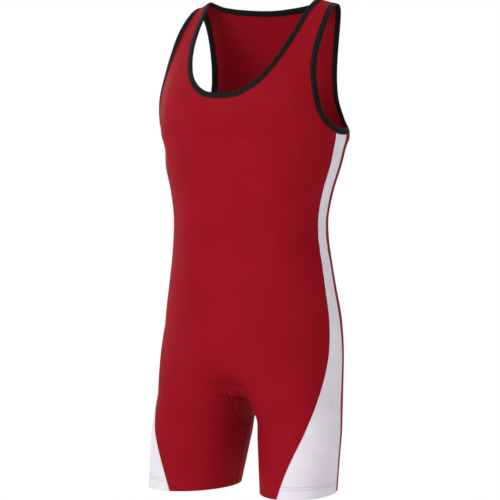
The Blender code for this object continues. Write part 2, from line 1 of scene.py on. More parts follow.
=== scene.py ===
# Weightlifting singlet in its worn shape: knit panels, folded bindings and an applied band down each side.
# Metres, +Z up. The front faces -Y and the garment's left side is +X.
import bmesh
import bpy
import numpy as np
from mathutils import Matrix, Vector


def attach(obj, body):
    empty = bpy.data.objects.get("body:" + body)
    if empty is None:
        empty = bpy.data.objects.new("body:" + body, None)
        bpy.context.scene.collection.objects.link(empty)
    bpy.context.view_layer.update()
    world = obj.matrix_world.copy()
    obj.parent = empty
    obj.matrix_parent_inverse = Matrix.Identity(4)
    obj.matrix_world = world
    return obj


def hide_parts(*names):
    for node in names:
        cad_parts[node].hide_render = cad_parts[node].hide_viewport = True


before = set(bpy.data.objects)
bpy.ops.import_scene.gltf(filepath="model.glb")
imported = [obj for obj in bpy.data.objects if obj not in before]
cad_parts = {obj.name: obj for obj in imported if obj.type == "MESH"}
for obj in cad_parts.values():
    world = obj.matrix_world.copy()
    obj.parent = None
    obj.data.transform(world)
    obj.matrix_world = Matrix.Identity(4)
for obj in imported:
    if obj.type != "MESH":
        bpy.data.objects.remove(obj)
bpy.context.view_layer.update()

print("frame loaded:", sorted(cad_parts))

# Every piece lies on one smooth form. q climbs from the leg hem (0) to the crotch (1), the hips (2),
# the chest (3) and the shoulder ridge (4); p runs round one half from the centre front or inseam (0)
# past the side (0.5) to the centre back (1).
form = {
    "hemZ": -0.887,
    "crotchZ": -0.728,
    "hipZ": -0.600,
    "chestZ": -0.245,
    "hemDip": 0.006,  # how much lower the hem is at the front of the leg
    "frontRise": 0.50,  # how far up a column stays upright on the chest
    "backRise": 0.30,
    "frontLean": 0.034,  # how far it leans out over the chest
    "leanFrom": 0.42,  # cosine of the column's angle where the lean starts
    "leanFade": 0.33,
    "backHollow": 0.028,  # how far it draws in behind the arm
    "hollowFade": 0.45,
    "hollowEnd": 0.97,  # cosine near the centre back where the hollow has ended
    "hollowEndFade": 0.22,
    "columns": 96,
    "zoneRows": (24, 22, 50, 36),
}
# easing of the grid above the crotch: its strength, its share at the side, and the rows that it covers
easing = {"least": 0.04, "added": 0.9, "atSide": 0.15, "rowsAbove": 9, "spread": 11.0, "rounds": 26}

torsoTable = np.array([  # z, half width, front depth, back depth, squareness
    [-0.245, 0.184, -0.138, 0.089, 2.25],
    [-0.290, 0.174, -0.139, 0.087, 2.20],
    [-0.345, 0.158, -0.139, 0.078, 2.15],
    [-0.390, 0.151, -0.139, 0.072, 2.10],
    [-0.430, 0.152, -0.138, 0.071, 2.10],
    [-0.470, 0.157, -0.137, 0.075, 2.10],
    [-0.520, 0.164, -0.138, 0.081, 2.15],
    [-0.570, 0.171, -0.140, 0.090, 2.20],
    [-0.600, 0.174, -0.141, 0.092, 2.20],
    [-0.645, 0.177, -0.141, 0.092, 2.20],
])
legTable = np.array([  # z, centre x, centre y, radius x, radius y, how far back the inseam lies
    [-0.728, 0.0900, -0.025, 0.0900, 0.103, 0.015],
    [-0.755, 0.1014, -0.028, 0.0822, 0.094, 0.018],
    [-0.780, 0.1035, -0.032, 0.0825, 0.093, 0.019],
    [-0.810, 0.1055, -0.037, 0.0810, 0.090, 0.019],
    [-0.887, 0.1105, -0.048, 0.0755, 0.084, 0.017],
])
ridgeTable = np.array([  # x, ridge z, ridge y, fullness before and behind
    [0.000, 0.030, -0.004, 0.00, 0.60],
    [0.080, 0.016, 0.000, -0.05, 0.70],
    [0.115, 0.007, 0.012, 0.10, 0.95],
    [0.147, -0.003, 0.023, 0.26, 1.50],
    [0.160, -0.008, 0.0265, 0.46, 1.55],
    [0.200, -0.030, 0.036, 0.50, 1.60],
])


def readTable(table, at):
    # smooth values of a table's columns: cubic Hermite between rows, each slope the mean of its neighbours
    rows = table[np.argsort(table[:, 0])]
    known, values = rows[:, 0], rows[:, 1:]
    slopes = np.gradient(values, known, axis=0)
    at = np.clip(np.asarray(at, float), known[0], known[-1])
    k = np.clip(np.searchsorted(known, at) - 1, 0, len(known) - 2)
    step = (known[k + 1] - known[k])[..., None]
    t = (at - known[k])[..., None] / step
    start = (1 + 2 * t) * (1 - t) ** 2 * values[k] + t * (1 - t) ** 2 * step * slopes[k]
    return start + t**2 * (3 - 2 * t) * values[k + 1] + t**2 * (t - 1) * step * slopes[k + 1]


def torsoSection(angle, z):
    # superellipse round one half: x = width sin^(2/n), y from the front depth to the back depth by cos^(2/n)
    width, front, back, n = np.moveaxis(readTable(torsoTable, z), -1, 0)
    side = (front + back) / 2
    y = side + np.where(np.cos(angle) > 0, front - side, back - side) * np.abs(np.cos(angle)) ** (2 / n)
    return width * np.abs(np.sin(angle)) ** (2 / n), y


def legSection(angle, z):
    # slanting ellipse round one leg, from the inseam over the front and the side, back to the inseam
    cx, cy, rx, ry, inseamBack = np.moveaxis(readTable(legTable, z), -1, 0)
    return cx - rx * np.cos(2 * angle), cy - ry * np.sin(2 * angle - np.arcsin(inseamBack / ry))


def backShare(angle):
    # 0 on the front and 1 on the back, changing smoothly over the side
    return (1 - np.tanh(np.cos(angle) / 0.25)) / 2


def riseProfile(t, rise):
    # height share of the cubic arch from the chest line to the ridge
    return 3 * (1 - t) ** 2 * t * rise + 3 * (1 - t) * t**2 + t**3


def legZone(angle, t):
    z = form["hemZ"] + (form["crotchZ"] - form["hemZ"]) * t
    return *legSection(angle, z), z - form["hemDip"] * (1 - t) ** 2 * np.sin(2 * angle)


def crotchZone(angle, t):
    # the leg ring opens at the inseam; its ends follow the U of the crotch while it becomes a torso section
    low, high = form["crotchZ"], form["hipZ"]
    sideZ = low + (high - low) * t
    endZ = low + (high - low) * (1 - np.cos(np.pi * t / 2))
    z = sideZ + (endZ - sideZ) * np.cos(angle) ** 4
    legX, legY = legSection(angle, low + 0 * angle)
    torsoX, torsoY = torsoSection(angle, np.maximum(sideZ, torsoTable[-1, 0]) + 0 * angle)
    opened = np.sin(np.pi * t / 2)
    return legX + (torsoX - legX) * opened, legY + (torsoY - legY) * opened, z


def torsoZone(angle, t):
    z = form["hipZ"] + (form["chestZ"] - form["hipZ"]) * t
    return *torsoSection(angle, z + 0 * angle), z + 0 * angle


def shoulderZone(angle, t):
    # each column is a cubic arch: upright on the chest or back, level where it meets the ridge
    x, baseY = torsoSection(angle, form["chestZ"] + 0 * angle)
    ridgeZ, ridgeY, frontFull, backFull = np.moveaxis(readTable(ridgeTable, x), -1, 0)
    behind = backShare(angle)
    rise = form["frontRise"] + (form["backRise"] - form["frontRise"]) * behind
    full = frontFull + (backFull - frontFull) * behind
    share = (1 - t) ** 3 + 3 * (1 - t) ** 2 * t + 3 * (1 - t) * t**2 * full
    forward = np.clip((np.cos(angle) - form["leanFrom"]) / form["leanFade"], 0, 1)
    lean = form["frontLean"] * forward**2 * (3 - 2 * forward) * 5 * (1 - t) ** 4 * t
    hollow = np.clip(-np.cos(angle) / form["hollowFade"], 0, 1)
    hollow = hollow * np.clip((np.cos(angle) + form["hollowEnd"]) / form["hollowEndFade"], 0, 1)
    lean = lean + form["backHollow"] * hollow**2 * (3 - 2 * hollow) * 3 * (1 - t) ** 2 * t
    y = ridgeY + share * (baseY - ridgeY) - lean
    return x, y, form["chestZ"] + (ridgeZ - form["chestZ"]) * riseProfile(t, rise)


def withNeighbours(grid, crotchRow):
    # two more columns and rows on every side, so that a neighbour exists across each seam
    mirror = np.array([-1.0, 1.0, 1.0])
    before, after = grid[2:0:-1] * mirror, grid[-2:-4:-1] * mirror
    before[:, :crotchRow] = grid[-3:-1, :crotchRow]
    after[:, :crotchRow] = grid[1:3, :crotchRow]
    wide = np.concatenate([before, grid, after])
    overRidge = wide[::-1, -2:-4:-1]
    belowHem = np.stack([wide[:, 0] * (1 + k) - wide[:, 1] * k for k in (2, 1)], axis=1)
    return np.concatenate([belowHem, wide, overRidge], axis=1)


def makeForm():
    # the grid of one whole half, each point eased towards its neighbours' mean where the legs join
    angle = np.linspace(0, np.pi, form["columns"] + 1)
    rows = []
    for zone, count in zip((legZone, crotchZone, torsoZone, shoulderZone), form["zoneRows"]):
        rows += [np.stack(zone(angle, t), axis=-1) for t in np.arange(count) / count]
    rows.append(np.stack(shoulderZone(angle, 1.0), axis=-1))
    grid = np.stack(rows, axis=1)
    crotchRow = form["zoneRows"][0]
    rowsAway = np.arange(grid.shape[1]) - crotchRow - easing["rowsAbove"]
    nearCrotch = np.exp(-((rowsAway / easing["spread"]) ** 2))
    aroundShare = easing["atSide"] + (1 - easing["atSide"]) * np.cos(angle) ** 2
    ease = easing["least"] + easing["added"] * aroundShare[:, None] * nearCrotch[None, :]
    ease[:, 0] = 0
    ease[[0, -1], crotchRow] = 0
    for _ in range(easing["rounds"]):
        wide = withNeighbours(grid, crotchRow)
        around = wide[1:-3, 2:-2] + wide[3:-1, 2:-2] + wide[2:-2, 1:-3] + wide[2:-2, 3:-1]
        grid = grid + ease[..., None] * (around / 4 - grid)
    return withNeighbours(grid, crotchRow)


formGrid = makeForm()


def cubicWeights(at, count):
    # first of the four grid places round each value, and their Catmull-Rom weights
    first = np.clip(np.floor(at).astype(int), 1, count - 3)
    t = at - first
    return first - 1, ((-t + 2 * t**2 - t**3) / 2, (2 - 5 * t**2 + 3 * t**3) / 2,
                       (t + 4 * t**2 - 3 * t**3) / 2, (-(t**2) + t**3) / 2)


def surface(p, q):
    # points of the form at (p, q): Catmull-Rom between its grid points
    p, q = np.broadcast_arrays(np.asarray(p, float), np.asarray(q, float))
    counts = form["zoneRows"]
    edges = np.cumsum((-counts[0], counts[0], *counts, counts[-1]))
    firstColumn, columnShares = cubicWeights(p * form["columns"] + 2, formGrid.shape[0])
    firstRow, rowShares = cubicWeights(np.interp(q, np.arange(-1, 6), edges) + 2, formGrid.shape[1])
    total = 0
    for i, columnShare in enumerate(columnShares):
        for j, rowShare in enumerate(rowShares):
            total = total + (columnShare * rowShare)[..., None] * formGrid[firstColumn + i, firstRow + j]
    return total


def tangents(p, q):
    # change of the form per unit of p and of q
    step = 0.004
    return ((surface(p + step, q) - surface(p - step, q)) / (2 * step),
            (surface(p, q + step) - surface(p, q - step)) / (2 * step))


def outward(p, q):
    # unit normals of the form; on the centre plane they lie in it
    normal = np.cross(*tangents(p, q))
    normal[..., 0] = np.where(np.abs(surface(p, q)[..., 0]) < 1e-6, 0, normal[..., 0])
    return normal / np.linalg.norm(normal, axis=-1, keepdims=True)


def find(x, z, back):
    # (p, q) of the shoulder-zone points seen at (x, z) from the front or the back, by halving
    angle = np.arcsin(np.clip(x / torsoTable[0, 1], 0, 1) ** (torsoTable[0, 4] / 2))
    angle = np.pi - angle if back else angle
    rise = form["frontRise"] + (form["backRise"] - form["frontRise"]) * backShare(angle)
    share = (z - form["chestZ"]) / (readTable(ridgeTable, x)[..., 0] - form["chestZ"])
    low, high = np.zeros_like(angle), np.ones_like(angle)
    for _ in range(40):
        middle = (low + high) / 2
        below = riseProfile(middle, rise) < share
        low, high = np.where(below, middle, low), np.where(below, high, middle)
    return angle / np.pi, 3 + (low + high) / 2


print("form worked out:", formGrid.shape)

# The cloth laid flat, in metres: x from the centre (or, on a side, from the side seam), y up from the hem.
flatWidth = 0.56
flatRows = np.array([0.0, 0.160, 0.290, 0.645, 0.900])  # heights up the cloth where q is 0, 1, 2, 3 and 4

# Soft folds: where each starts and ends on the flat cloth, half width and depth (minus is a trough), in mm.
folds = {
    "front": np.array([  # x0, y0, x1, y1, width, depth
        [12, 226, 66, 262, 9, -1.6],
        [-10, 222, -58, 252, 8, -1.3],
        [8, 212, 88, 226, 7, -1.1],
        [-14, 208, -96, 229, 8, -1.2],
        [20, 244, 48, 300, 11, 0.9],
        [-24, 240, -40, 284, 9, 0.8],
        [-64, 184, 38, 174, 5, -4.0],
        [-54, 197, 34, 188, 7, 2.0],
        [150, 640, 92, 600, 12, -1.1],
        [-148, 642, -84, 612, 11, -0.9],
        [120, 455, 40, 470, 14, -0.8],
        [-124, 470, -50, 452, 13, -0.9],
        [104, 438, 60, 434, 9, 0.6],
        [-60, 360, 30, 352, 20, -0.6],
        [-262, 628, -150, 622, 24, -5.0],
        [262, 626, 160, 620, 24, -3.0],
        [-250, 694, -160, 700, 26, 3.5],
        [250, 694, 164, 700, 26, 2.0],
        [-218, 168, -222, 296, 30, 4.5],
    ]),
    "back": np.array([
        [-112, 468, 46, 480, 11, -2.0],
        [-40, 500, 118, 492, 12, -1.7],
        [-96, 448, 84, 444, 13, -1.5],
        [-30, 424, 104, 430, 10, -1.0],
        [-70, 512, 10, 520, 10, 0.9],
        [14, 226, 74, 250, 10, -1.9],
        [-12, 222, -80, 243, 9, -1.7],
        [18, 206, 92, 208, 8, -1.2],
        [-16, 204, -84, 212, 9, -1.3],
        [128, 628, 70, 660, 12, -1.3],
        [-132, 624, -78, 662, 12, -1.2],
        [70, 730, 96, 840, 8, -0.7],
        [-66, 736, -94, 836, 9, -0.6],
    ]),
    "side": np.array([  # x is towards the back; left and right differ only by a small shift in height
        [-60, 462, 70, 474, 12, -1.2],
        [-44, 436, 60, 446, 11, -0.9],
        [-30, 492, 80, 500, 12, -0.8],
        [-26, 655, -70, 628, 10, -0.8],
        [10, 646, 124, 660, 16, 4.0],
    ]),
}


def clothHeight(q):
    # height up the flat cloth
    return np.interp(q, np.arange(5), flatRows)


def rowAt(height):
    # q at a height up the flat cloth
    return np.interp(height, flatRows, np.arange(5))


def flatPlace(p, q):
    # flat coordinates from the centre front, the centre back and the side seam, and the height up the cloth
    return p * flatWidth, (1 - p) * flatWidth, (p - 0.5) * flatWidth, clothHeight(q)


def foldHeight(x, y, table):
    # across a fold a bell, exp(-(distance/width)^2); along it a hump, (4 t (1-t))^0.8
    total = np.zeros(np.shape(x))
    for x0, y0, x1, y1, width, depth in table / 1000:
        along = np.array([x1 - x0, y1 - y0])
        length = np.hypot(*along)
        t = ((x - x0) * along[0] + (y - y0) * along[1]) / length**2
        across = ((x - x0) * along[1] - (y - y0) * along[0]) / length
        hump = (4 * np.clip(t, 0, 1) * (1 - np.clip(t, 0, 1))) ** 0.8
        total += depth * hump * np.exp(-((across / width) ** 2))
    return total


# the gusset's lowest and highest rows, half its width as a share of p, and the size of its arch in metres
gussetSizes = {"lowRow": 0.65, "highRow": 1.40, "reach": 0.078, "archSize": 0.042}
seamDip = {"width": 0.0022, "depth": -0.0012}
seamCrease = {"up": 0.007, "width": 0.0075, "depth": -0.0024, "fromRow": 1.12, "fade": 0.2, "onBack": 0.5}
seamGroove = {"width": 0.002, "depth": -0.0005, "inseamTop": 0.66, "inseamFade": 0.04}
foldFit = {"backGain": 1.5, "sideFade": 0.05, "sideShift": 0.004}


def gussetSeam(p, q):
    # the dip along the gusset's seam and a crease above it: the seam arches over the crotch
    # and closes in a half wave down the inseams
    low, high, reach, archSize = gussetSizes.values()
    across = np.minimum(p, 1 - p)
    arch = (np.hypot(across / reach, (q - 1) / (high - 1)) - 1) * archSize
    share = np.sin(np.pi / 2 * np.clip((q - low) / (1 - low), 0, 1))
    beside = (across - reach * share) * flatWidth
    below = np.hypot(across * flatWidth, (q - low) * flatRows[1])
    distance = np.where(q > 1, arch, np.where(q > low, beside, below))
    dip = seamDip["depth"] * np.exp(-((distance / seamDip["width"]) ** 2))
    crease = seamCrease["depth"] * np.exp(-(((distance - seamCrease["up"]) / seamCrease["width"]) ** 2))
    faded = crease * np.clip((q - seamCrease["fromRow"]) / seamCrease["fade"], 0, 1)
    return dip + faded * np.where(p < 0.5, 1, seamCrease["onBack"])


def relief(p, q, side):
    # how far the cloth stands off the form: the folds of the face it is on, fading out towards the side seam,
    # the side's own folds, and the grooves of the seams
    front, back, lateral, y = flatPlace(p, q)
    backFolds = foldHeight(side * back, y, folds["back"]) * foldFit["backGain"]
    height = np.where(p < 0.5, foldHeight(side * front, y, folds["front"]), 0.0)
    height = height + np.where(p >= 0.5, backFolds, 0.0)
    fade = np.clip(np.abs(p - 0.5) / foldFit["sideFade"], 0, 1)
    height = height * fade**2 * (3 - 2 * fade)
    depth, width = seamGroove["depth"], seamGroove["width"]
    inseam = depth * np.exp(-((np.minimum(p, 1 - p) * flatWidth / width) ** 2))
    inseam = inseam * np.clip((seamGroove["inseamTop"] - q) / seamGroove["inseamFade"], 0, 1)
    ridge = depth * np.exp(-(((4 - q) * (flatRows[4] - flatRows[3]) / width) ** 2))
    sideFolds = foldHeight(lateral, y + foldFit["sideShift"] * side, folds["side"])
    return height + sideFolds + gussetSeam(p, q) + inseam + ridge


def place(p, q, side, height=0.0):
    # a point of the cloth on the left (side 1) or right (side -1), that far outside its middle
    p, q = np.broadcast_arrays(np.asarray(p, float), np.asarray(q, float))
    flip = np.array([side, 1.0, 1.0])
    off = np.asarray(height) + relief(p, q, side)
    return surface(p, q) * flip + outward(p, q) * flip * off[..., None]


edgeTables = {
    "frontNeck": np.array([  # x, z
        [0.0000, -0.168], [0.0360, -0.163], [0.0680, -0.141], [0.0860, -0.112],
        [0.0965, -0.085], [0.1050, -0.045], [0.1085, -0.016], [0.1150, 0.006],
    ]),
    "backNeck": np.array([
        [0.0000, -0.0115], [0.0120, -0.0115], [0.0450, -0.0095],
        [0.0800, -0.0055], [0.1040, 0.000], [0.1150, 0.006],
    ]),
    "frontArmhole": np.array([
        [0.1840, -0.231], [0.1828, -0.227], [0.1785, -0.2185], [0.1712, -0.200], [0.1652, -0.172],
        [0.1603, -0.140], [0.1560, -0.096], [0.1545, -0.050], [0.1500, -0.004],
    ]),
    "backArmhole": np.array([
        [0.1840, -0.231], [0.1770, -0.230], [0.1660, -0.2225], [0.1505, -0.202], [0.1385, -0.178],
        [0.1340, -0.150], [0.1335, -0.120], [0.1360, -0.085], [0.1415, -0.045], [0.1500, -0.004],
    ]),
}
cloth = {"wall": 0.0012, "hemDepth": 0.022, "hemFade": 0.012}  # hemFade is in q


def runAlong(points):
    # distance along a polyline to each of its points
    return np.concatenate([[0], np.cumsum(np.linalg.norm(np.diff(points, axis=0), axis=1))])


def pair(p, q):
    # (p, q) points from two rows of values, either of which may be one number
    return np.stack(np.broadcast_arrays(p, q), axis=-1)


def spaced(points, count):
    # the polyline through (p, q) points as count + 1 points at even distances on the form
    t = np.linspace(0, len(points) - 1, 8 * len(points) + 8 * count)
    dense = np.stack([np.interp(t, np.arange(len(points)), points[:, k]) for k in (0, 1)], axis=-1)
    along = runAlong(surface(*dense.T))
    at = np.linspace(0, along[-1], count + 1)
    return np.stack([np.interp(at, along, dense[:, k]) for k in (0, 1)], axis=-1)


def edgeCurve(name, count):
    # a smooth curve through a table of (x, z), as count + 1 evenly spaced (p, q) points ending on the ridge
    table = edgeTables[name]
    run = runAlong(table)
    x, z = readTable(np.column_stack([run, table]), np.linspace(0, run[-1], 600)).T
    points = np.stack(find(x, z, name.startswith("back")), axis=-1)
    points[-1, 1] = 4
    return spaced(points, count)


def insetCurve(edge, distance, turn, startP):
    # (p, q) points a distance in from an edge, on its left (turn 1) or right (turn -1), ending on the ridge
    along = np.gradient(surface(*edge.T), axis=0)
    inward = turn * np.cross(outward(*edge.T), along)
    inward /= np.linalg.norm(inward, axis=1, keepdims=True)
    across, up = tangents(*edge.T)
    # least squares for (dp, dq) with across dp + up dq = inward distance
    aa, ab, bb = (across * across).sum(1), (across * up).sum(1), (up * up).sum(1)
    ca, cb = (across * inward).sum(1) * distance, (up * inward).sum(1) * distance
    det = aa * bb - ab * ab
    points = edge + np.stack([(ca * bb - cb * ab) / det, (cb * aa - ca * ab) / det], axis=-1)
    points[0, 0] = startP
    step = distance / np.linalg.norm(tangents(edge[-1:, 0], edge[-1:, 1])[0])
    points[-1] = edge[-1, 0] + step * np.sign(points[-2, 0] - edge[-2, 0]), 4
    return points


def patch(p, q, side, height=0.0):
    # a grid of cloth: places, outward directions, flat coordinates, quads that face outwards, and q
    places = place(p, q, side, height).reshape(-1, 3)
    normals = (outward(p, q) * np.array([side, 1, 1])).reshape(-1, 3)
    front, back, _, y = flatPlace(p, q)
    flat = np.stack([side * np.where(p < 0.5, front, flatWidth - back), y], axis=-1).reshape(-1, 2)
    index = np.arange(p.size).reshape(p.shape)
    quads = np.stack([index[:-1, :-1], index[:-1, 1:], index[1:, 1:], index[1:, :-1]], axis=-1).reshape(-1, 4)
    corners = places[quads]
    faceNormals = np.cross(corners[:, 2] - corners[:, 0], corners[:, 3] - corners[:, 1])
    turned = np.einsum("ij,ij->i", faceNormals, normals[quads[:, 0]])
    quads = np.where((turned < 0)[:, None], quads[:, ::-1], quads)
    return places, normals, flat, quads, q.reshape(-1)


samePoint = 2e-6  # points closer than about this are one


def joined(patches):
    # several patches as one, with points that coincide made one
    starts = np.cumsum([0] + [len(one[0]) for one in patches[:-1]])
    places, normals, flat, rows = (np.concatenate([one[k] for one in patches]) for k in (0, 1, 2, 4))
    quads = np.vstack([one[3] + start for one, start in zip(patches, starts)])
    cells = np.round(places / samePoint).astype(np.int64)
    _, keep, order = np.unique(cells, axis=0, return_index=True, return_inverse=True)
    return places[keep], normals[keep], flat[keep], order.reshape(-1)[quads], rows[keep]


sharpAngle = np.radians(62)  # edges that turn more than this are shaded sharp


def addObject(name, data):
    thing = bpy.data.objects.new(name, data)
    bpy.context.scene.collection.objects.link(thing)
    return thing


def makeMesh(name, points, faces, flat, material, sharp=True):
    # the faces may hold one corner twice where a grid comes to a point; such corners are dropped
    mesh = bpy.data.meshes.new(name)
    faces = np.asarray(faces)
    whole = faces != np.roll(faces, 1, axis=1)
    keep = whole.sum(axis=1) > 2
    faces, whole = faces[keep], whole[keep]
    loops, counts = faces[whole], whole.sum(axis=1)
    mesh.vertices.add(len(points))
    mesh.vertices.foreach_set("co", np.asarray(points, np.float32).ravel())
    mesh.loops.add(len(loops))
    mesh.loops.foreach_set("vertex_index", loops.astype(np.int32))
    mesh.polygons.add(len(counts))
    mesh.polygons.foreach_set("loop_start", np.concatenate([[0], np.cumsum(counts)[:-1]]).astype(np.int32))
    mesh.polygons.foreach_set("use_smooth", np.ones(len(counts), bool))
    mesh.update(calc_edges=True)
    mesh.validate()
    if flat is not None:
        layer = mesh.uv_layers.new(name="cloth")
        corner = np.empty(len(mesh.loops), np.int32)
        mesh.loops.foreach_get("vertex_index", corner)
        layer.data.foreach_set("uv", np.asarray(flat, np.float32)[corner].ravel())
    mesh.materials.append(material)
    if sharp:
        mesh.set_sharp_from_angle(angle=sharpAngle)
    return addObject(name, mesh)


rimShape = {"rounds": 3, "bulge": 0.6}  # points round the rim, and how far it bulges against half the wall


def wall(sheetParts, above, below, drawIn=0.0):
    # a closed wall: the sheet moved out and in along its normals, its rim half an ellipse round
    places, normals, flat, quads, _ = sheetParts
    above, below = (np.broadcast_to(value, len(places))[:, None] for value in (above, below))
    pairs = np.stack([quads, np.roll(quads, -1, axis=1)], axis=-1).reshape(-1, 2)
    pairs = pairs[pairs[:, 0] != pairs[:, 1]]
    code = pairs[:, 0] * len(places) + pairs[:, 1]
    rim = pairs[~np.isin(code, pairs[:, 1] * len(places) + pairs[:, 0])]
    along = places[rim[:, 1]] - places[rim[:, 0]]
    away = np.zeros_like(places)
    for end in (0, 1):
        np.add.at(away, rim[:, end], np.cross(along, normals[rim[:, end]]))
    length = np.linalg.norm(away, axis=1, keepdims=True)
    away = away / np.where(length > 1e-12, length, 1)
    half = (above + below) / 2
    places = places - away * (drawIn + half * rimShape["bulge"])
    middle = places + normals * (above - below) / 2
    angle = np.linspace(np.pi / 2, -np.pi / 2, rimShape["rounds"] + 2)
    bulge = away * half * rimShape["bulge"]
    layers = [middle + normals * half * np.sin(a) + bulge * np.cos(a) for a in angle]
    onRim = np.unique(rim)
    rimIndex = np.zeros(len(places), int)
    rimIndex[onRim] = np.arange(len(onRim))
    count = len(places)
    points, ids = [layers[0], layers[-1]], [lambda v: v]
    for k, layer in enumerate(layers[1:-1]):
        points.append(layer[onRim])
        ids.append(lambda v, k=k: 2 * count + k * len(onRim) + rimIndex[v])
    ids.append(lambda v: v + count)
    caps = [np.stack([low(rim[:, 1]), low(rim[:, 0]), high(rim[:, 0]), high(rim[:, 1])], axis=-1)
            for low, high in zip(ids[:-1], ids[1:])]
    flats = np.vstack([flat, flat] + [flat[onRim]] * (len(layers) - 2))
    return np.vstack(points), np.vstack([quads, quads[:, ::-1] + count] + caps), flats


panel = {
    "columns": 56,  # grid columns of one half of the front or back
    "edgePoints": 70,  # along half the neck edge, and along the armhole edge
    "leastStep": 2e-5,  # least step of q from the level rows to the next
    # rows up the leg, as (from, to, count) in metres of cloth, closer together at the hem's stitching
    "legRows": ((0, 0.014, 5), (0.0152, 0.0265, 12), (0.030, 0.104, 22)),
}


def panelGrid(back):
    # rows run from the inseam, gusset, centre line and neck edge to the side seam and armhole edge
    centre, turn = (1.0, -1.0) if back else (0.0, 1.0)
    low, high, reach, _ = gussetSizes.values()
    legRows = rowAt(np.concatenate([np.linspace(*stretch) for stretch in panel["legRows"]]))
    legRows[-1] = low
    below = np.linspace(low, 1, 17)[1:]
    angle = np.linspace(0, np.pi / 2, 22)[1:]
    neck = edgeCurve("backNeck" if back else "frontNeck", panel["edgePoints"])
    armhole = edgeCurve("backArmhole" if back else "frontArmhole", panel["edgePoints"])
    # above the gusset the rows are level, one through every point of the two edges
    body = np.linspace(high, armhole[0, 1], 105)[1:]
    levels = np.unique(np.round(np.concatenate([neck[:, 1], armhole[:, 1]]), 5))
    levels = np.concatenate([body, levels[levels > body[-1] + panel["leastStep"]]])
    innerP = np.interp(levels, neck[:, 1], neck[:, 0], left=centre)
    outerP = np.interp(levels, armhole[:, 1], armhole[:, 0], left=0.5)
    sideLow = np.concatenate([legRows, below, 1 + (high - 1) * np.linspace(0, 1, 22)[1:]])
    outer = np.vstack([pair(0.5, sideLow), pair(outerP, levels)])
    gussetEdge = pair(centre + turn * reach * np.cos(angle), 1 + (high - 1) * np.sin(angle))
    gussetEdge[-1, 0] = centre
    lowEdge = pair(centre + turn * reach * np.sin(np.pi / 2 * (below - low) / (1 - low)), below)
    inner = np.vstack([pair(centre, legRows), lowEdge, gussetEdge, pair(innerP, levels)])
    u = np.linspace(0, 1, panel["columns"] + 1)[None, :, None]
    grid = inner[:, None] + (outer - inner)[:, None] * u
    return grid[..., 0], grid[..., 1]


# two needle lines round each hem: heights above the edge, their dip in the cloth, and where the thread runs
hemStitches = {
    "rows": (0.0170, 0.0215),
    "width": 0.0011,
    "depth": 0.00025,
    "inseamGap": 0.006,  # in p
    "insideBand": 0.002,  # in p, as besideBand
    "besideBand": 0.005,
    "sunk": 0.0002,
    "proud": 0.00012,
}


def makePanel(name, back, material):
    # a half on each side of the centre; the cloth is double where the hem is turned up
    p, q = panelGrid(back)
    parts = joined([patch(p, q, 1), patch(p, q, -1)])
    rows, half = parts[4], cloth["wall"] / 2
    turned = np.clip((rowAt(cloth["hemDepth"]) + cloth["hemFade"] - rows) / cloth["hemFade"], 0, 1)
    heights = clothHeight(rows)
    dips = [np.exp(-(((heights - at) / hemStitches["width"]) ** 2)) for at in hemStitches["rows"]]
    above = half - hemStitches["depth"] * sum(dips)
    return makeMesh(name, *wall(parts, above, half + 2 * half * turned), material)


def makeGusset(material):
    # a diamond in four quarters that meet at the crotch: front and back, left and right
    low, high, reach, _ = gussetSizes.values()
    archRows = 1 + (high - 1) * np.sin(np.linspace(0, np.pi / 2, 26)[1:])
    rows = np.concatenate([np.linspace(low, 1, 19), archRows])
    halfWave = np.sin(np.pi / 2 * np.clip((rows - low) / (1 - low), 0, 1))
    share = halfWave * np.sqrt(1 - np.clip((rows - 1) / (high - 1), 0, 1) ** 2)
    u = np.linspace(0, 1, 13)
    patches = []
    for side in (1, -1):
        for centre, turn in ((0.0, 1.0), (1.0, -1.0)):
            p = centre + turn * reach * share[:, None] * u[None, :]
            patches.append(patch(p, rows[:, None] + 0 * p, side))
    half = cloth["wall"] / 2
    return makeMesh("crotch_gusset", *wall(joined(patches), half, half), material)


bandTable = np.array([  # height up the flat cloth, reach from the side seam to the front and to the back
    [0.000, 0.1130, 0.0225], [0.040, 0.0990, 0.0230], [0.080, 0.0830, 0.0240], [0.120, 0.0665, 0.0250],
    [0.160, 0.0505, 0.0250], [0.200, 0.0370, 0.0235], [0.240, 0.0275, 0.0215], [0.290, 0.0205, 0.0195],
    [0.360, 0.0160, 0.0160], [0.440, 0.0140, 0.0140], [0.540, 0.0145, 0.0145], [0.700, 0.0175, 0.0175],
])
band = {
    "wall": 0.0010,
    "lift": 0.0009,  # of its inner face from the middle of the panel's cloth
    "drawIn": 0.0001,
    "belowBinding": 0.0012,
    "columns": 16,
    "rows": 230,
    "farthest": (0.3, 60),  # how far in p its edges are looked for, and in how many steps
    "topRow": 3.03,  # about where it ends
    "topPoints": 120,
    "readRows": (0, 3.3, 331),  # from, to and count of the rows whose edges are looked for
}
binding = {"width": 0.009, "wall": 0.0010, "clearance": 0.0004}
bindingPoints = {"frontNeck": 150, "backNeck": 60, "frontArmhole": 150, "backArmhole": 130}


def bandReach(q):
    # the band's two edges as p, at their distances from the side seam measured along each row of the form
    q = np.atleast_1d(q)
    wanted = readTable(bandTable, clothHeight(q))
    rows, found = np.arange(len(q)), []
    farthest, count = band["farthest"]
    for k, turn in ((0, -1), (1, 1)):
        p = 0.5 + turn * np.linspace(0, farthest, count + 1)
        line = surface(p[None, :], q[:, None])
        steps = np.cumsum(np.linalg.norm(np.diff(line, axis=1), axis=2), axis=1)
        run = np.concatenate([np.zeros((len(q), 1)), steps], axis=1)
        last = np.clip((run < wanted[:, k:k + 1]).sum(axis=1), 1, count)
        before, after = run[rows, last - 1], run[rows, last]
        found.append(p[last - 1] + (p[last] - p[last - 1]) * (wanted[:, k] - before) / (after - before))
    return found


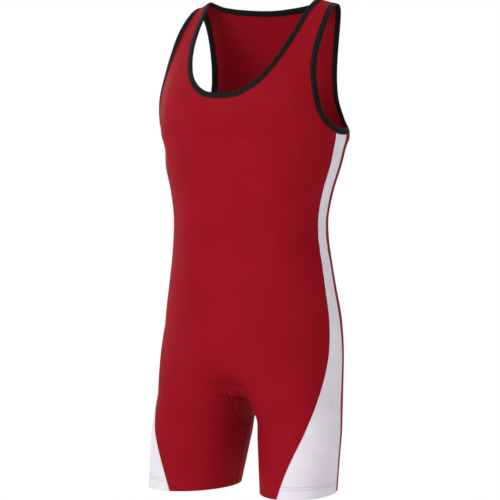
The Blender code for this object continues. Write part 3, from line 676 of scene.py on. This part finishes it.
def bandPlaces(u, v):
    # v climbs from the hem to just below the armhole binding, u runs from the front edge to the back edge
    below = binding["width"] + band["belowBinding"]
    lines = [insetCurve(edgeCurve(name, band["topPoints"]), below, turn, 0.5)
             for name, turn in (("frontArmhole", 1), ("backArmhole", -1))]
    line = np.vstack([lines[0][::-1], lines[1][1:]])
    rows = np.linspace(*band["readRows"])
    low, high = bandReach(rows)
    q = v * band["topRow"]
    for _ in range(4):
        p = np.interp(q, rows, low) * (1 - u) + np.interp(q, rows, high) * u
        q = v * np.interp(p, line[:, 0], line[:, 1])
    return p, q


def makeBand(name, side, material):
    u, v = np.meshgrid(np.linspace(0, 1, band["columns"] + 1), np.linspace(0, 1, band["rows"] + 1))
    p, q = bandPlaces(u, v)
    parts = joined([patch(p, q, side, band["lift"])])
    return makeMesh(name, *wall(parts, band["wall"], 0.0, band["drawIn"]), material)


def bindingSections(which):
    # the edge curve of an opening and the line a binding's width inside it, both as (p, q) points
    isNeck = which == "Neck"
    front, back = (edgeCurve(word + which, bindingPoints[word + which]) for word in ("front", "back"))
    turn = -1 if isNeck else 1
    frontLine = insetCurve(front, binding["width"], turn, 0.0 if isNeck else 0.5)
    backLine = insetCurve(back, binding["width"], -turn, 1.0 if isNeck else 0.5)
    if not isNeck:
        frontLine[0, 1] = backLine[0, 1] = (frontLine[0, 1] + backLine[0, 1]) / 2
    return np.vstack([front, back[-2::-1]]), np.vstack([frontLine, backLine[-2::-1]])


# the binding's outer face from its raw end (1) to the edge (0), and its height there in shares of its wall
legProfile = ((1.0, 0.25), (0.97, 0.75), (0.86, 0.72), (0.72, 1.0), (0.5, 1.12), (0.25, 1.15), (0.0, 1.05))
# its inner face round the edge: height in shares of half its gap, and whether it is clear of the edge there
innerProfile = ((-0.95, 0), (-0.5, 1), (0.5, 1), (0.95, 0))


def tube(edge, line, edgeNormal, lineNormal):
    # a folded strip: a U round the cloth's edge, its legs lying on both faces, rounded at their raw ends
    away = (edge - line) / np.linalg.norm(edge - line, axis=1, keepdims=True)
    near = cloth["wall"] / 2 + binding["clearance"]
    far = near + binding["wall"]

    def onLeg(share, height, face):
        normal = face * (lineNormal * share + edgeNormal * (1 - share))
        return line + (edge - line) * (1 - share) + normal * (near + binding["wall"] * height)

    outside = [onLeg(share, height, 1) for share, height in legProfile]
    inside = [onLeg(share, height, -1) for share, height in legProfile[::-1]]
    bend = [edge + edgeNormal * far * np.sin(a) + away * far * np.cos(a)
            for a in np.linspace(np.pi / 2, -np.pi / 2, 9)[1:-1]]
    gap = away * binding["clearance"]
    inner = [edge + edgeNormal * near * up + gap * clear for up, clear in innerProfile]
    inner = [line - lineNormal * near, *inner, line + lineNormal * near]
    points = np.stack(outside + bend + inside + inner, axis=1)
    count, around = points.shape[:2]
    index = np.arange(count * around).reshape(count, around)
    after = np.roll(index, -1, axis=0)
    quads = np.stack([index, np.roll(index, -1, axis=1), np.roll(after, -1, axis=1), after], axis=-1)
    flat = pair(runAlong(edge)[:, None], runAlong(points[0])[None, :])
    return points.reshape(-1, 3), quads.reshape(-1, 4), flat.reshape(-1, 2)


def makeBinding(name, which, side, material):
    # a closed loop: round both halves of the neck, or round one armhole
    edge, line = bindingSections(which)
    sides = (1, -1) if which == "Neck" else (side,)
    halves = []
    for one in sides:
        flip = np.array([one, 1, 1])
        normals = outward(*edge.T) * flip, outward(*line.T) * flip
        halves.append([place(*edge.T, one), place(*line.T, one), *normals])
    if which == "Neck":
        whole = [np.vstack([a, b[-2:0:-1]]) for a, b in zip(*halves)]
    else:
        whole = [a[:-1] for a in halves[0]]
    piece = makeMesh(name, *tube(*whole), material, sharp=False)
    mended = bmesh.new()
    mended.from_mesh(piece.data)
    bmesh.ops.recalc_face_normals(mended, faces=mended.faces)
    mended.to_mesh(piece.data)
    mended.free()
    return piece


stitch = {
    "length": 0.0029,
    "gap": 0.0008,
    "width": 0.00075,
    "flatness": 0.75,
    "start": 0.0004,
    "lift": 0.0001,  # above the band
    "bandInset": 0.0022,  # from the band's edges
    "bandEnds": (0.002, 0.996, 500),  # shares of the band's length, and points
    "bindingInset": 0.0068,  # from the opening's edge
    "bindingShare": 0.78,  # of the binding's wall
    "seamLift": 0.00005,
    "seamInset": 0.0024,  # on each side of a seam
    "shoulderEnds": 0.26,  # share of the strap's width left free at each end
    "inseamFrom": 0.17,  # in q
    "belowGusset": 0.02,  # in q, the gap under the gusset's lowest row
    "aboveTip": 0.05,  # in q, where the gusset's own lines start
    "leastP": 0.001,
}
# shares of a stitch's length and of its half width there: a long bead
beadShape = np.array([[0, 0.1], [0.12, 0.8], [0.5, 1], [0.88, 0.8], [1, 0.1]])
# the two quads at each end of a stitch, as the ring and its corners
beadEnds = ((0, [0, 5, 4, 3]), (0, [0, 3, 2, 1]), (4, [0, 1, 2, 3]), (4, [0, 3, 4, 5]))


def threadRow(p, q, side, height):
    # stitches laid end to end along a (p, q) curve
    line = place(p, q, side, height)
    up = outward(p, q) * np.array([side, 1, 1])
    run = runAlong(line)
    starts = np.arange(stitch["start"], run[-1] - stitch["length"], stitch["length"] + stitch["gap"])

    def at(values, where):
        return np.stack([np.interp(where, run, values[:, k]) for k in range(3)], axis=-1)

    first, last, normal = at(line, starts), at(line, starts + stitch["length"]), at(up, starts)
    along = last - first
    across = np.cross(normal, along)
    across /= np.linalg.norm(across, axis=1, keepdims=True)
    share, radius = beadShape[:, 0], beadShape[:, 1] * stitch["width"] / 2
    turn = np.linspace(0, 2 * np.pi, 7)[:-1]
    upright = normal[:, None] * np.sin(turn)[None, :, None] * stitch["flatness"]
    ring = across[:, None] * np.cos(turn)[None, :, None] + upright
    points = (first[:, None, None] + along[:, None, None] * share[None, :, None, None]
              + ring[:, None] * radius[None, :, None, None])
    index = np.arange(points[..., 0].size).reshape(points.shape[:3])
    after = np.roll(index, -1, axis=2)
    quads = np.stack([index[:, :-1], after[:, :-1], after[:, 1:], index[:, 1:]], axis=-1).reshape(-1, 4)
    return points.reshape(-1, 3), np.vstack([quads, *(index[:, end, corners] for end, corners in beadEnds)])


def makeThread(name, rows, material):
    starts = np.cumsum([0] + [len(row[0]) for row in rows[:-1]])
    points = np.vstack([row[0] for row in rows])
    quads = np.vstack([row[1] + start for row, start in zip(rows, starts)])
    return makeMesh(name, points, quads, None, material, sharp=False)


def hemRows(onBand):
    # two needle lines round each leg, split where they cross the band
    rows = []
    inset, beside, end = (hemStitches[key] for key in ("insideBand", "besideBand", "inseamGap"))
    for side in (1, -1):
        for up in hemStitches["rows"]:
            q = float(rowAt(up))
            low, high = (float(edge[0]) for edge in bandReach(q))
            low, high = low + inset, high - inset
            spans = [(low, high)] if onBand else [(end, low - beside), (high + beside, 1 - end)]
            top = band["lift"] + band["wall"] if onBand else cloth["wall"] / 2 - hemStitches["sunk"]
            for span in spans:
                rows.append(threadRow(np.linspace(*span, 160), q, side, top + hemStitches["proud"]))
    return rows


def bandRows():
    # one line along each long edge of the bands
    rows = []
    top = band["lift"] + band["wall"] + stitch["lift"]
    for side in (1, -1):
        for u, inward in ((0.0, 1), (1.0, -1)):
            p, q = bandPlaces(u, np.linspace(*stitch["bandEnds"]))
            rows.append(threadRow(p + inward * stitch["bandInset"] / flatWidth, q, side, top))
    return rows


def bindingRows():
    # one needle line near the raw edge of each binding, outside and inside
    rows = []
    top = cloth["wall"] / 2 + binding["clearance"] + binding["wall"] * stitch["bindingShare"]
    edges = {"frontNeck": (-1, 0.0), "backNeck": (1, 1.0), "frontArmhole": (1, 0.5), "backArmhole": (-1, 0.5)}
    for name, (turn, startP) in edges.items():
        line = insetCurve(edgeCurve(name, 240), stitch["bindingInset"], turn, startP)
        for side in (1, -1):
            rows += [threadRow(*line.T, side, top), threadRow(*line.T, side, -top)]
    return rows


def seamRows():
    # flat seams sewn down on the outside: shoulders, inseams and both sides of the gusset's seam
    rows = []
    top, off = cloth["wall"] / 2 + stitch["seamLift"], stitch["seamInset"]
    low, high, reach, archSize = gussetSizes.values()
    for side in (1, -1):
        for word, centre, turn in (("front", 0.0, 1.0), ("back", 1.0, -1.0)):
            neck, arm = edgeCurve(word + "Neck", 40)[-1, 0], edgeCurve(word + "Armhole", 40)[-1, 0]
            inner = (arm - neck) * stitch["shoulderEnds"]
            p = np.linspace(neck + inner, arm - inner, 40)
            rows.append(threadRow(p, 4 - off / (flatRows[4] - flatRows[3]), side, top))
            q = np.linspace(stitch["inseamFrom"], low - stitch["belowGusset"], 80)
            rows.append(threadRow(centre + turn * off / flatWidth, q, side, top))
            for step in (-off, off):
                grown = 1 + step / archSize
                q = np.linspace(low + stitch["aboveTip"], 1, 60)
                p = reach * np.sin(np.pi / 2 * (q - low) / (1 - low)) + step / flatWidth
                around = np.linspace(0, np.pi / 2, 60)[1:]
                p = np.concatenate([np.maximum(p, stitch["leastP"]), grown * reach * np.cos(around)])
                q = np.concatenate([q, 1 + grown * (high - 1) * np.sin(around)])
                rows.append(threadRow(centre + turn * p, q, side, top))
    return rows


def linear(code):
    # sRGB hex to linear
    values = np.array([int(code[k:k + 2], 16) for k in (1, 3, 5)]) / 255
    values = np.where(values <= 0.04045, values / 12.92, ((values + 0.055) / 1.055) ** 2.4)
    return (*values, 1.0)


def newMaterial(name, values):
    # a material and its main shader, whose sockets have these values
    material = bpy.data.materials.new(name)
    material.use_nodes = True
    shader = material.node_tree.nodes["Principled BSDF"]
    for socket, value in values.items():
        shader.inputs[socket].default_value = value
    return material, shader


def addNode(owner, kind, settings=None, links=None):
    # one node; settings are attributes or socket values, links are socket: (node, output)
    node = owner.node_tree.nodes.new("ShaderNode" + kind)
    for key, value in (settings or {}).items():
        if isinstance(key, str) and hasattr(node, key):
            setattr(node, key, value)
        else:
            node.inputs[key].default_value = value
    for key, (other, output) in (links or {}).items():
        owner.node_tree.links.new(other.outputs[output], node.inputs[key])
    return node


def knitMaterial(name, look):
    # weft-knit polyester and elastane jersey: matte yarn in fine upright wales, with the look's sheen
    material, shader = newMaterial(name, {
        "Roughness": look["roughness"],
        "IOR": 1.5,
        "Specular IOR Level": look["specular"],
        "Sheen Weight": look.get("sheen", 0.0),
        "Sheen Roughness": 0.45,
    })
    uv = addNode(material, "UVMap", {"uv_map": "cloth"})
    spot = addNode(material, "TexCoord")
    clouds = {"Scale": 9.0, "Detail": 3.0, "Roughness": 0.6}
    mottle = addNode(material, "TexNoise", clouds, {"Vector": (spot, "Object")})
    limits = {"From Min": 0.35, "From Max": 0.65}
    shift = addNode(material, "MapRange", limits, {"Value": (mottle, "Fac")})
    blend = addNode(material, "Mix", {"data_type": "RGBA"}, {"Factor": (shift, "Result")})
    blend.inputs[6].default_value = linear(look["deep"])
    blend.inputs[7].default_value = linear(look["light"])
    # wales and courses: waves across and up the cloth, a wale look["stitch"] metres wide, a course lower
    waves = []
    for direction, scale, distortion in (("X", 0.314, 0.6), ("Y", 0.36, 0.5)):
        wave = {"wave_type": "BANDS", "bands_direction": direction, "Scale": scale / look["stitch"],
                "Distortion": distortion, "Detail": 1.0, "Detail Scale": 3.0}
        waves.append(addNode(material, "TexWave", wave, {"Vector": (uv, "UV")}))
    wales, courses = waves
    product = {"operation": "MULTIPLY"}
    loops = addNode(material, "Math", product, {0: (wales, "Fac"), 1: (courses, "Fac")})
    hairs = {"Scale": 900.0, "Detail": 2.0}
    fuzz = addNode(material, "TexNoise", hairs, {"Vector": (spot, "Object")})
    both = addNode(material, "Math", {"operation": "ADD"}, {0: (loops, 0), 1: (fuzz, "Fac")})
    height = {"Strength": look["bump"], "Distance": 0.0004}
    bump = addNode(material, "Bump", height, {"Height": (both, 0)})
    # painted shade: the base colour is made darker in the grooves between the knit's loops, by the look's
    # shade share
    grooveShade = addNode(material, "MapRange", {"To Min": 1 - look["shade"]}, {"Value": (loops, 0)})
    factors = {0: (blend, 2), "Scale": (grooveShade, "Result")}
    yarn = addNode(material, "VectorMath", {"operation": "SCALE"}, factors)
    material.node_tree.links.new(yarn.outputs[0], shader.inputs["Base Color"])
    material.node_tree.links.new(bump.outputs[0], shader.inputs["Normal"])
    return material


# shade in each look is the share of painted shade in the grooves between the knit's loops
redLook = {"deep": "#910C1C", "light": "#98101F", "roughness": 0.62, "specular": 0.04,
           "stitch": 0.0013, "bump": 0.35, "shade": 0.10}
blackLook = {"deep": "#0E0F11", "light": "#131316", "roughness": 0.62, "specular": 0.10,
             "stitch": 0.0011, "bump": 0.45, "shade": 0.15}
whiteLook = {"deep": "#E2DDE6", "light": "#ECE8EF", "roughness": 0.55, "specular": 0.30, "sheen": 0.08,
             "stitch": 0.0010, "bump": 0.30, "shade": 0.06}
redKnit = knitMaterial("red stretch jersey", redLook)
blackKnit = knitMaterial("black folded jersey binding", blackLook)
whiteKnit = knitMaterial("white applied jersey", whiteLook)


def threadMaterial(name, colour):
    # textured polyester thread: soft and slightly glossy
    material, shader = newMaterial(name, {"Roughness": 0.5, "Specular IOR Level": 0.3})
    spot = addNode(material, "TexCoord")
    twist = {"Scale": 2200.0, "Detail": 1.0}
    plies = addNode(material, "TexNoise", twist, {"Vector": (spot, "Object")})
    tone = addNode(material, "MapRange", {"To Min": 0.85, "To Max": 1.1}, {"Value": (plies, "Fac")})
    yarn = addNode(material, "VectorMath", {"operation": "SCALE"}, {"Scale": (tone, "Result")})
    yarn.inputs[0].default_value = linear(colour)[:3]
    material.node_tree.links.new(yarn.outputs[0], shader.inputs["Base Color"])
    return material


redThread = threadMaterial("red polyester thread", "#8C121D")
blackThread = threadMaterial("black polyester thread", "#1C1D20")
whiteThread = threadMaterial("white polyester thread", "#D8D3DC")
# the hem's needle lines are drawn in pale grey where they run over the white bands, and in red elsewhere
paleGreyBandHemBeads = threadMaterial("pale grey hem beads on the bands", "#A9A3B0")

made = {}
made["front"] = makePanel("front_panel", False, redKnit)
made["back"] = makePanel("back_panel", True, redKnit)
made["gusset"] = makeGusset(redKnit)
print("panels made")
made["neck_binding"] = makeBinding("neck_edge_binding", "Neck", 1, blackKnit)
for word, side in (("left", 1), ("right", -1)):
    made["armhole_binding_" + word] = makeBinding("armhole_edge_binding_" + word, "Armhole", side, blackKnit)
    made["side_band_" + word] = makeBand("side_seam_band_" + word, side, whiteKnit)
print("bindings and bands made")

for node, piece in made.items():
    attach(piece, "root")
    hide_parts(node)

threads = {
    "hem_stitches": (hemRows(False), redThread, "red_knit"),
    "hem_stitches_on_bands": (hemRows(True), paleGreyBandHemBeads, "white_band"),
    "band_edge_stitches": (bandRows(), whiteThread, "white_band"),
    "binding_stitches": (bindingRows(), blackThread, "black_binding"),
    "seam_stitches": (seamRows(), redThread, "red_knit"),
}
for name, (rows, material, slot) in threads.items():
    thread = makeThread(name, rows, material)
    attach(thread, "root")
    made[name] = thread
    print(name, len(thread.data.polygons), "faces")

stage = {"floorZ": -1.55, "radius": 4.2, "sides": 96, "fadeFrom": 1.9, "fadeTo": 4.0}
around = np.linspace(0, 2 * np.pi, stage["sides"] + 1)[:-1]
edgeX, edgeY = stage["radius"] * np.cos(around), stage["radius"] * np.sin(around)
rim = np.stack([edgeX, edgeY, 0 * around + stage["floorZ"]], axis=-1)
floorMesh = bpy.data.meshes.new("floor")
floorMesh.from_pydata(rim.tolist(), [], [list(range(stage["sides"]))])
floor = addObject("floor", floorMesh)

# pale paint that turns into a plain glow far from the object, so that the floor has no visible edge
paleFloor, paint = newMaterial("pale painted floor", {"Base Color": linear("#F4F4F4"), "Roughness": 0.8})
spot = addNode(paleFloor, "TexCoord")
out = addNode(paleFloor, "VectorMath", {"operation": "LENGTH"}, {0: (spot, "Object")})
limits = {"From Min": stage["fadeFrom"], "From Max": stage["fadeTo"], "interpolation_type": "SMOOTHSTEP"}
fade = addNode(paleFloor, "MapRange", limits, {"Value": (out, "Value")})
glow = addNode(paleFloor, "Emission")
both = addNode(paleFloor, "MixShader", None, {0: (fade, "Result"), 1: (paint, 0), 2: (glow, 0)})
paleFloor.node_tree.links.new(both.outputs[0], paleFloor.node_tree.nodes["Material Output"].inputs[0])
floorMesh.materials.append(paleFloor)

shot = {"azimuth": 31.0, "distance": 4.5, "height": -0.30, "lens": 175.4, "right": -0.0185, "aimZ": -0.4526}
angle = np.radians(shot["azimuth"])
toRight = np.array([np.cos(angle), np.sin(angle), 0])
aim = toRight * shot["right"] + np.array([0, 0, shot["aimZ"]])
eye = np.array([np.sin(angle), -np.cos(angle), 0]) * shot["distance"] + np.array([0, 0, shot["height"]])
camera = addObject("camera", bpy.data.cameras.new("camera"))
camera.data.lens, camera.data.sensor_width = shot["lens"], 36
camera.data.clip_end = 100
camera.location = eye
camera.rotation_mode = "QUATERNION"
camera.rotation_quaternion = Vector(aim - eye).to_track_quat("-Z", "Y")
bpy.context.scene.camera = camera

lamps = {  # place as (degrees right of the camera, height, distance), size, watts
    "key": ((-48, 0.9, 3.0), 2.2, 62),
    "fill": ((42, 0.1, 3.4), 2.4, 12),
    "top": ((150, 2.0, 1.8), 1.2, 20),
    "back": ((-140, 0.6, 3.2), 1.6, 26),
}
lampAim = Vector((0, 0, -0.45))
for name, ((turned, height, far), size, watts) in lamps.items():
    light = bpy.data.lights.new(name, "AREA")
    light.size, light.energy = size, watts
    around = angle + np.radians(turned)
    spot = Vector((np.sin(around) * far, -np.cos(around) * far, height))
    lamp = addObject(name, light)
    lamp.location = spot
    lamp.rotation_euler = (lampAim - spot).to_track_quat("-Z", "Y").to_euler()

# the camera sees plain white; the light that the world gives is weaker and slightly warm
world = bpy.data.worlds.new("soft studio")
world.use_nodes = True
backdrop = world.node_tree.nodes["Background"]
backdrop.inputs["Color"].default_value = (1, 1, 1, 1)
ambient = addNode(world, "Background", {"Color": (1.0, 0.99, 0.985, 1), "Strength": 0.54})
seen = addNode(world, "LightPath")
shares = {0: (seen, "Is Camera Ray"), 1: (ambient, 0), 2: (backdrop, 0)}
either = addNode(world, "MixShader", None, shares)
world.node_tree.links.new(either.outputs[0], world.node_tree.nodes["World Output"].inputs[0])
bpy.context.scene.world = world
bpy.context.scene.view_settings.view_transform = "Standard"

bpy.context.view_layer.update()
